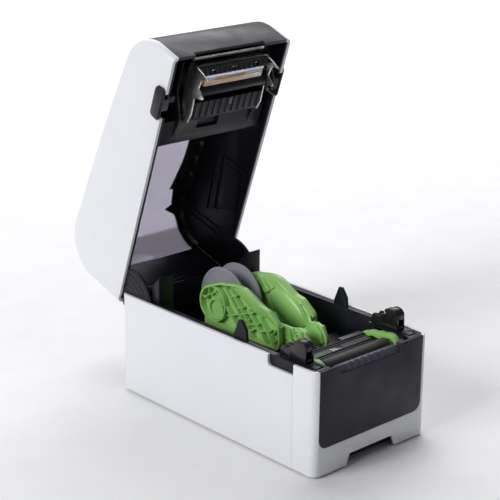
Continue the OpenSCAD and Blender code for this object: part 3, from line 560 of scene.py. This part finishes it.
def arm_inside():
    """Bulge, ribs and folded fins on the side towards the roll."""
    x = ARM_IN + 0.4
    parts = [dome("bulge", (-5, 77.5), 27, 21, 10.5, x, -3.9),
             dome("bulge_foot", (4, 66.5), 10, 15, 5, x, -1.8)]
    for p, q in (((27, 92.6), (16.5, 84.4)), ((21.5, 94), (12.4, 87)), ((16.5, 84.4), (8.2, 90.4)),
                 ((27.5, 86), (16.5, 84.4))):
        parts.append(wall("rib", p, q, x, ARM_IN - 1.9, 1.2))
    parts.append(wall("ridge", (-13.6, 77.6), (-27.4, 70.2), x, ARM_IN - 2.2, 1.8))
    parts.append(wall("ridge", (-17.6, 84.6), (-26.0, 74.6), x, ARM_IN - 1.4, 1.6))
    return parts


def arm_nose():
    """Plate bent in towards the middle, with folded fins inside and a bored boss outside."""
    t = NOSE_OUT - NOSE_IN
    stations = [(-23.5, ARM_IN + 0.2, 62, 80.4), (-25.5, ARM_IN - 0.4, 61.6, 79.2),
                (-32, NOSE_IN + 0.6, 61, 76.6), (-33.6, NOSE_IN, 60.9, 76.8),
                (-40, NOSE_IN, 60.7, 78.4), (-45.6, NOSE_IN, 60.8, 76.9),
                (-48.6, NOSE_IN, 62.0, 72.2), (-50.2, NOSE_IN, 63.6, 68.8)]
    rings = [[(x, y, lo), (x + t, y, lo), (x + t, y, hi), (x, y, hi)] for y, x, lo, hi in stations]
    parts = [softened(loft("nose", rings), 0.45, 3, 28)]
    fin = [(-34.8, 74.2), (-40.6, 76.6), (-46.4, 72.2), (-48.6, 66.0), (-44.6, 63.0), (-36, 66.8)]
    parts.append(softened(prism("fin", fin, "x", NOSE_IN - 1.6, NOSE_IN + 0.5), 0.5, 2, 30))
    parts.append(wall("fold", (-27.6, 70.4), (-36.2, 66.6), ARM_IN - 0.6, NOSE_IN - 1.2, 1.6))
    parts.append(softened(turned("nose_boss", "x", (-39, 72.5), [
        (NOSE_OUT - 0.5, 1.1), (NOSE_OUT - 0.5, 4.5), (NOSE_OUT + 1.4, 4.2), (NOSE_OUT + 1.6, 3.9),
        (NOSE_OUT + 1.6, 3.2), (NOSE_OUT + 0.9, 2.9), (NOSE_OUT + 0.9, 2.0), (NOSE_OUT + 1.4, 1.8),
        (NOSE_OUT + 1.4, 1.1)]), 0.1, 1))
    for p, q in (((-31, 76), (-34.6, 68)), ((-34.6, 68), (-28, 64)), ((-43, 76.6), (-48.4, 66)),
                 ((-36, 66.4), (-45.4, 61.8)), ((-34, 77), (-36, 74.6))):
        parts.append(wall("facet", p, q, NOSE_OUT - 0.3, NOSE_OUT + 2.2, 1.2))
    return parts


def roll_arm(side):
    """One arm with its axle, stalk and foot; side is 1 on the right."""
    slot = AXLE[0] + 12 * side
    floor = mm_box("left_arm_rack")[0].z
    foot = (12.6, 16.6)
    stalk = softened(prism("stalk", [(20, 61), (52, 64), (55.8, 12.4), (26.2, 12.4)], "x",
                           *foot), 0.6)
    foot_block = softened(block("foot", foot, (slot - 3, slot + 3), (floor, 13)), 0.3)
    axle = softened(rod("axle", "x", AXLE, 4.0, 2.4, ARM_IN + 1), 0.4)
    solid = merged("roll_arm", [arm_shell(), *arm_outside(), *arm_inside(), *arm_nose(), stalk,
                                foot_block, axle])
    return solid if side > 0 else mirrored(solid)


def roll_disc(side):
    """Disc with a rounded rim, a raised collar outside and the core boss inside."""
    face = 6.2
    profile = [(2.0, 9.6), (2.0, 10.6), (2.5, 11.2), (5.4, 12.0), (5.9, 12.2), (face, 12.9),
               (face, 24.0), (6.5, 24.7), (7.2, 25.0), (7.9, 24.7), (8.2, 24.0), (8.2, 22.9),
               (7.9, 22.7), (7.9, 11.0), (8.3, 10.4), (12.2, 10.0), (12.6, 9.7), (12.6, 8.7),
               (12.2, 8.4), (10.6, 8.2), (10.6, 5.6), (12.2, 5.3), (12.4, 4.9), (12.4, 4.05),
               (4.2, 4.05), (4.2, 9.6)]
    solid = turned("roll_disc", "x", AXLE, profile, 96)
    return solid if side > 0 else mirrored(solid)


for side, name in ((-1, "left"), (1, "right")):
    finished(roll_arm(side), name + "_arm", "green_plastic", nodes=[name + "_roll_arm"], smooth=35)
    finished(roll_disc(side), name + "_roll_disc", "disc_grey", nodes=[name + "_disc"], smooth=35)

# ---- lid shell, drawn shut and placed by LID -------------------------------------------------

LID_Z = BASE_H + 0.3
WRAP_X = 50.5
NOSE_R, REAR_R, CREST_R = 30.2, 30.0, 2200.0
CREST = (254.0, -2049.4)
FRONT, REAR = -HALF_D, HALF_D + 1.4


def meeting(x, r):
    """Angle and centre of a corner of radius r whose side is at x, tangent to the crest."""
    a = math.acos((x - CREST[0]) / (CREST_R - r))
    c = (CREST[0] + (CREST_R - r) * math.cos(a), CREST[1] + (CREST_R - r) * math.sin(a))
    return math.degrees(a), c


NOSE_A, NOSE_C = meeting(FRONT - 1 + NOSE_R, NOSE_R)
REAR_A, REAR_C = meeting(HALF_D + 2 - REAR_R, REAR_R)


def lid_curve(t):
    """Side view of the shell, t inside its outer face, from the front foot to the rear foot."""
    return ([(FRONT + t, LID_Z)] + arc(NOSE_C, NOSE_R - t, 180, NOSE_A, 24)
            + arc(CREST, CREST_R - t, NOSE_A, REAR_A, 12)
            + arc(REAR_C, REAR_R - t, REAR_A, 0, 24) + [(REAR - t, LID_Z)])


def open_shell(name, rings):
    """Skin of a cover that is open below: loft of open curves with a flat rim."""
    n = len(rings[0])
    count = len(rings)
    faces = [(k * n + i, k * n + i + 1, (k + 1) * n + i + 1, (k + 1) * n + i)
             for k in range(count - 1) for i in range(n - 1)]
    faces += [tuple(range(n)), tuple(range((count - 1) * n, count * n))]
    faces.append(tuple([k * n for k in range(count)]
                       + [k * n + n - 1 for k in reversed(range(count))]))
    return new_mesh(name, [p for ring in rings for p in ring], faces)


def lid_side():
    """White side whose edge rolls onto the top in a soft corner."""
    r, thick = HALF_W - WRAP_X, WALL
    inner, outer = arc((0, 0), 1, 0, 90, 6), arc((0, 0), 1, 90, 0, 10)
    rings = [[(WRAP_X + (r - thick) * c, *p) for p in lid_curve(r - (r - thick) * s)]
             for c, s in inner]
    rings += [[(WRAP_X + r * c, *p) for p in lid_curve(r - r * s)] for c, s in outer]
    shell = open_shell("lid_side", rings)
    cut(shell, block("slot", (WRAP_X - 1, HALF_W + 1), (-74, -55), (LID_Z - 1, 85.4)),
        rod("hinge_hole", "x", (HINGE_Y, HINGE_Z), 7.2, WRAP_X - 1, HALF_W + 1))
    return softened(shell, 0.35, 2, 50)


finished(lid_side(), "lid", "white_plastic", LID, nodes=["lid_right_side"])
finished(mirrored(lid_side()), "lid", "white_plastic", LID, nodes=["lid_left_side"])


def crest_z(y, t=0.0):
    """Height of the top at y, t inside its outer face."""
    return CREST[1] + math.sqrt((CREST_R - t) ** 2 - (y - CREST[0]) ** 2)


def mixed_value(stops, x):
    """Straight lines between (place, value) pairs."""
    for (a, u), (b, v) in zip(stops, stops[1:]):
        if a <= x <= b:
            return u + (v - u) * (x - a) / (b - a)
    return stops[-1][1]


def bezel():
    """Lining beside the window: four pillowed panels, a waist, a tooth and the rear strip."""
    edge = [(-24, 43), (1.4, 43), (1.5, 35.4), (16, 36.4), (30.7, 37), (46.5, 35.2), (61, 32.6),
            (61.2, 36.6), (67.5, 38.2), (78, 40)]
    creases = [1.5, 16, 30.7, 46.5, 61]
    strips = []
    for lo, hi in [(-24, 1.4), *zip(creases, creases[1:]), (61.2, 76.5)]:
        rings = []
        steps = 14
        for k in range(steps + 1):
            s = k / steps
            y = lo + (hi - lo) * s
            depth = 3.4 + (1.5 * math.sin(math.pi * s) ** 0.7 if lo in creases else 0.0)
            x = mixed_value(edge, y)
            rings.append([(x + 0.6, y, crest_z(y, 2.5)), (50.4, y, crest_z(y, 2.5)),
                          (50.4, y, crest_z(y, depth + 2.2)), (48.6, y, crest_z(y, depth)),
                          (x + 0.6, y, crest_z(y, depth - 0.2)), (x, y, crest_z(y, depth - 0.8))])
        strips.append(softened(loft("bezel_panel", rings), 0.25, 2, 40))
    rear = [(0, 45.5), (37, 46.4), (50, 45), (64, 42.9), (90, 40)]
    rings = []
    for k in range(25):
        a = REAR_A - 1 - (REAR_A - 1) * k / 24
        x = mixed_value(rear, a)
        c, s = math.cos(math.radians(a)), math.sin(math.radians(a))
        at = [(REAR_C[0] + (REAR_R - t) * c, REAR_C[1] + (REAR_R - t) * s) for t in (2.5, 3.8, 6.4)]
        rings.append([(x, *at[0]), (50.4, *at[0]), (50.4, *at[2]), (48.4, *at[1]), (x, *at[1])])
    y_in = REAR - 2.5
    rings.append([(43.4, y_in, 110), (50.4, y_in, 110), (50.4, y_in - 3.9, 110),
                  (48.4, y_in - 1.3, 110), (43.4, y_in - 1.3, 110)])
    strips.append(softened(loft("bezel_rear", rings), 0.2, 2, 40))
    z = crest_z(81, 6)
    strips.append(softened(prism("tooth", [(33.8, 80.4), (42, 75.6), (43.6, 86.4), (41.2, 85)], "z",
                                 z, z + 2.3), 0.2, 2))
    return merged("window_bezel", strips)


finished(merged("bezels", [bezel(), mirrored(bezel())]), "lid", "black_trim", LID,
         nodes=["window_bezel"])

# raised frames, ledges and stiffening ribs on the inside of both linings
ribs = []
for side in (1, -1):
    inside = []
    for p, q in (((14.5, 109.6), (14.2, 82)), ((14.2, 82), (48.4, 78.6)),
                 ((57.9, 99), (48.4, 78.6)), ((14.5, 109.6), (60, 104.2)),
                 ((60, 104.2), (57.9, 99)), ((79.6, 131.4), (78.2, 84)),
                 ((74.5, 125.3), (72.8, 93.6)), ((23.7, 134.9), (76.8, 130.7)),
                 ((18, 115.8), (64.8, 111.6)), ((-22, 132), (-22, 112)), ((88.7, 111.1), (84, 92))):
        inside.append(wall("rib", p, q, 50.75, 49.7, 1.2, 0.3))
    pad = eased([(17.5, 106), (18, 86), (46, 82.6), (54, 98), (54, 102)], 2)
    inside.append(softened(prism("pad", pad, "x", 50.1, 50.75), 0.3, 2))
    piece = merged("lining_ribs", inside)
    ribs.append(piece if side > 0 else mirrored(piece))
finished(merged("lining_details", ribs), "lid", "black_plastic", LID)

# raised rings on the outer faces of the sector plates, round the hinge
rings = []
for r in (11, 15.5, 20, 24.5):
    for side in (1, -1):
        path = (arc((HINGE_Y, HINGE_Z), r, 115, 240, 30)
                + arc((HINGE_Y, HINGE_Z), r + 0.9, 240, 115, 30))
        ring = softened(prism("sector_ring", path, "x", 51.9, 52.45), 0.12, 2)
        rings.append(ring if side > 0 else mirrored(ring))
finished(merged("sector_rings", rings), "lid", "black_trim", LID)

# ---- print head ------------------------------------------------------------------------------

# tan glaze with the raised row of heaters; a lilac ledge of the heat sink lies in front of it
strip = [softened(block("glaze", (-27, 27), (-84.5, -79), (71.1, 73)), 0.15),
         loft("heater_bar", [[(x, -82.9 + 0.75 * math.cos(math.radians(a)),
                               71.15 - 0.9 * math.sin(math.radians(a))) for a in range(0, 181, 15)]
                             for x in (-25, 25)])]
finished(merged("head_strip", strip), "head", "ceramic", LID, nodes=["print_head"])
sink = [softened(block("ledge", (-28, 28), (-87.2, -84.7), (71.4, 73.2)), 0.25),
        softened(block("plate", (-29, 29), (-87.2, -78.9), (73.1, 76.2)), 0.2),
        softened(block("base", (-29, 29), (-90, -77), (76.1, 77.2)), 0.15)]
sink += [softened(block("fin", (-29, 29), (-90 + i * 2.9, -88.6 + i * 2.9), (76.1, 82.1)), 0.15)
         for i in range(5)]
for x in (-19, 0, 19):
    sink.append(softened(block("tab", (x - 2.2, x + 2.2), (-90.7, -89.9), (72.3, 73.1)), 0.1))
finished(merged("heat_sink", sink), "head", "aluminium", LID, nodes=["heat_sink"])

# ---- paper path at the front -----------------------------------------------------------------


def chute():
    """Sloped lip with slanted ribs that widen from right to left."""
    x0, x1 = (corner.x for corner in mm_box("exit_chute"))
    foot, top = 70.7, 74.2
    front = -HALF_D + 0.2
    body = softened(prism("chute", [(front, foot), (-98.0, top), (-95, top), (-95, foot - 4),
                                    (-99.2, foot - 4), (-99.2, foot)], "x", x0, x1), 0.2)
    ribs = [body]
    n = 8
    for i in range(n):
        x = x0 + 2.6 + i * (x1 - x0 - 6) / n
        w = 4.4 - 0.4 * i
        rings = []
        for s in (0.0, 1.0):
            y, z = front + 0.32 + 3.7 * s, foot + 0.5 + 3.4 * s
            a, b = x + 1.1 * s, x + w + 1.1 * s
            rings.append([(a, y, z), (b, y, z), (b, y + 0.9, z + 0.1), (a, y + 0.9, z + 0.1)])
        ribs.append(softened(loft("rib", rings), 0.15, 2))
    return merged("exit_chute", ribs)


finished(chute(), "base", "chute_grey", nodes=["exit_chute"])
notch = [softened(prism("catch", [(-98.6, 71.6), (-98.6, 75.6), (-97.6, 76.3), (-96.4, 76.3),
                                  (-96.4, 71.6)], "x", 27.4, 33.4), 0.25),
         softened(block("catch_foot", (26.8, 34), (-98.9, -96.6), (71, 72.4)), 0.2)]
finished(merged("panel_catch", notch), "base", "chute_grey")

# guide plate: long ridges along X, a step down at the rear and a raised block at the right
plate = [softened(block("guide", (-31.6, 31.6), (-76.2, -59.6), (66.5, 69.3)), 0.3),
         softened(block("guide_wide", (-33.8, 33.8), (-69, -59.6), (65, 69.2)), 0.3),
         softened(prism("guide_rear", [(-60, 65), (-60, 69.3), (-52.5, 64), (-52.5, 58.6),
                                       (-56.5, 58.6)], "x", -33.8, 33.8), 0.4)]
for y, z in ((-75.7, 70.0), (-73.1, 69.8), (-70.8, 70.1), (-62.8, 69.8), (-60.4, 70.0)):
    plate.append(softened(block("ridge", (-31.4, 31.4), (y - 0.45, y + 0.45), (69, z)), 0.15))
plate.append(softened(block("rear_block", (12, 33.8), (-60.5, -55.5), (64, 70.2)), 0.5))
finished(merged("guide_plate", plate), "base", "black_plastic", nodes=["paper_guide_plate"])


def latch_post():
    """Arched front block with a slot and grooves, a cross pin, and two stepped rear cheeks."""
    foot = 76.4
    arch = arc((-79, 84.5), 6.9, 150, 65, 10) + [(-74.6, 89.9), (-74.2, 86.6), (-70.5, 85.2),
                                                (-70.5, foot)]
    front = [(-85.4, foot)] + arch
    slotted = [(-85.4, foot), (-85.3, 79), (-80, 79), (-80, 84), (-85.2, 84)] + arch
    cheek = [(-60.7, foot), (-61.1, 81.4), (-63, 83.9), (-65.8, 84.4), (-66.6, 83), (-68.4, 83.3),
             (-69.4, 84.9), (-71, 85.1), (-71, foot)]
    parts = [softened(prism("slab", outline, "x", x0, x1), 0.3, 2)
             for outline, x0, x1 in ((front, 40.5, 42.3), (slotted, 42.55, 47.2),
                                     (front, 47.45, 48.3), (cheek, 40.5, 42.4),
                                     (cheek, 47.4, 48.3))]
    parts.append(softened(block("core", (41, 48), (-79.8, -71), (foot, 84)), 0.2, 2))
    parts.append(softened(block("slot_floor", (42, 47.8), (-71, -60.8), (foot, 78.3)), 0.2, 2))
    parts.append(softened(rod("cross_pin", "x", (-73.7, 88.2), 1.5, 41.4, 47.5, 28), 0.3, 2))
    return merged("latch_post", parts)


finished(latch_post(), "base", "black_trim", nodes=["right_latch_post"])
finished(mirrored(latch_post()), "base", "black_trim", nodes=["left_latch_post"])

# corner decks: raised bar, rim of the slot, step and two pegs
deck = []
for side in (1, -1):
    parts = [softened(block("bar", (43.4, 48.8), (-95.4, -89.4), (75.2, 76.6)), 0.3),
             softened(block("bar_slot", (41.2, 42.1), (-96, -72), (76.1, 76.9)), 0.2),
             softened(block("step", (44.6, 50.6), (-71.6, -64.6), (76.0, 77.2)), 0.3),
             softened(rod("peg", "z", (49.3, -92.6), 0.9, 75, 77.2), 0.2),
             softened(rod("peg", "z", (41.6, -66.5), 1.2, 75, 77.4), 0.2)]
    piece = merged("deck_details", parts)
    deck.append(piece if side > 0 else mirrored(piece))
finished(merged("deck_details", deck), "base", "black_plastic")

# ---- CAD solids with rounded edges -----------------------------------------------------------

EDGE = {
    "main_chassis": 0.5, "bottom_plate": 0.4, "rubber_feet": 0.4, "bottom_screws": 0.2,
    "left_side_cover": 0.5, "right_side_cover": 0.5, "front_cover": 0.5, "front_panel": 0.3,
    "rear_panel": 0.3, "platen_frame": 0.4, "rear_posts": 0.5, "media_sensor": 0.2,
    "platen_bearings": 0.3, "platen_shaft": 0.3, "platen_rubber": 0.3, "platen_gear": 0.15,
    "idler_gear": 0.15, "stepper_motor": 0.5, "motor_pinion": 0.15, "main_board": 0.1,
    "power_jack": 0.4, "usb_port": 0.2, "network_port": 0.2, "hinge_pins": 0.3,
    "left_platen_lever": 0.6, "right_platen_lever": 0.6, "left_arm_rack": 0.2,
    "right_arm_rack": 0.2, "arm_pinion": 0.15, "lid_nose_cover": 0.3, "lid_rear_frame": 0.3,
    "lid_window": 0.2, "lid_liner": 0.2, "tear_bar": 0.05, "head_module": 0.4,
    "upper_guide": 0.2, "guide_lens": 0.2, "panel_board": 0.1, "power_button": 0.6,
    "feed_button": 0.6, "head_bracket": 0.28, "head_cover": 0.15, "head_springs": 0.1,
    "left_release_tab": 0.4, "right_release_tab": 0.4, "release_shaft": 0.2, "lid_screws": 0.3,
}

for node, width in EDGE.items():
    rounded_copy(node, width)

# ---- floor, light and camera -----------------------------------------------------------------


def floor_plane():
    """Pale floor a hair below the feet, wide enough to fill the view."""
    size = 9000
    corners = [(-size, -size, 0), (size, -size, 0), (size, size, 0), (-size, size, 0)]
    floor = new_mesh("floor", corners, [(0, 1, 2, 3)])
    s = Surface("pale_floor")
    grain = s.noise(30, 4)
    tone = s.ramp(grain, [(0.3, (0.86, 0.86, 0.87)), (0.7, (0.89, 0.89, 0.9))])
    s.link(tone, s.shader.inputs["Base Color"])
    s.set(Roughness=0.9)
    floor.data.materials.append(s.material)
    floor.location.z = -0.0002


def sun(name, towards, strength, spread):
    data = bpy.data.lights.new(name, "SUN")
    data.energy = strength
    data.angle = math.radians(spread)
    lamp = bpy.data.objects.new(name, data)
    lamp.rotation_euler = Vector(towards).to_track_quat("Z", "Y").to_euler()
    scene.collection.objects.link(lamp)


def softbox(name, place, target, size, watts):
    data = bpy.data.lights.new(name, "AREA")
    data.shape = "RECTANGLE"
    data.size, data.size_y = size
    data.energy = watts
    lamp = bpy.data.objects.new(name, data)
    lamp.location = place
    lamp.rotation_euler = (Vector(place) - Vector(target)).to_track_quat("Z", "Y").to_euler()
    scene.collection.objects.link(lamp)


def studio():
    """Dim room, a hard-edged key from the left and a wash over the floor behind the object."""
    world = bpy.data.worlds.new("studio")
    world.use_nodes = True
    sky = world.node_tree.nodes["Background"].inputs
    sky["Color"].default_value = (0.93, 0.95, 1.0, 1)
    sky["Strength"].default_value = 0.10
    scene.world = world
    sun("key", (-0.88, 0.02, 0.5), 1.4, 25)
    softbox("back_wash", (1.3, 1.7, 2.4), (1.3, 1.7, 0), (3.2, 3.2), 75)
    softbox("far_wash", (3.2, 3.6, 3.0), (3.2, 3.6, 0), (4.5, 4.5), 110)
    softbox("left_box", (-1.2, 0.3, 0.9), (0, 0, 0.15), (0.5, 0.9), 5)
    scene.view_settings.view_transform = "Standard"


def camera():
    """Looks down at the front left corner along the object's own perspective lines."""
    yaw, pitch, roll = (math.radians(a) for a in (42.787, 18.735, 0.496))
    look = Vector((math.sin(yaw) * math.cos(pitch), math.cos(yaw) * math.cos(pitch),
                   -math.sin(pitch)))
    right = look.cross(Vector((0, 0, 1))).normalized()
    up = right.cross(look)
    turned_right = math.cos(roll) * right + math.sin(roll) * up
    turned_up = math.cos(roll) * up - math.sin(roll) * right
    data = bpy.data.cameras.new("camera")
    data.sensor_width = 36
    data.lens = 111.36
    data.clip_start = 0.05
    cam = bpy.data.objects.new("camera", data)
    basis = Matrix((turned_right, turned_up, -look)).transposed().to_4x4()
    place = (-0.71249, -0.74823, 0.47372)
    cam.matrix_world = Matrix.Translation(place) @ basis
    scene.collection.objects.link(cam)
    scene.camera = cam


camera()
studio()
floor_plane()
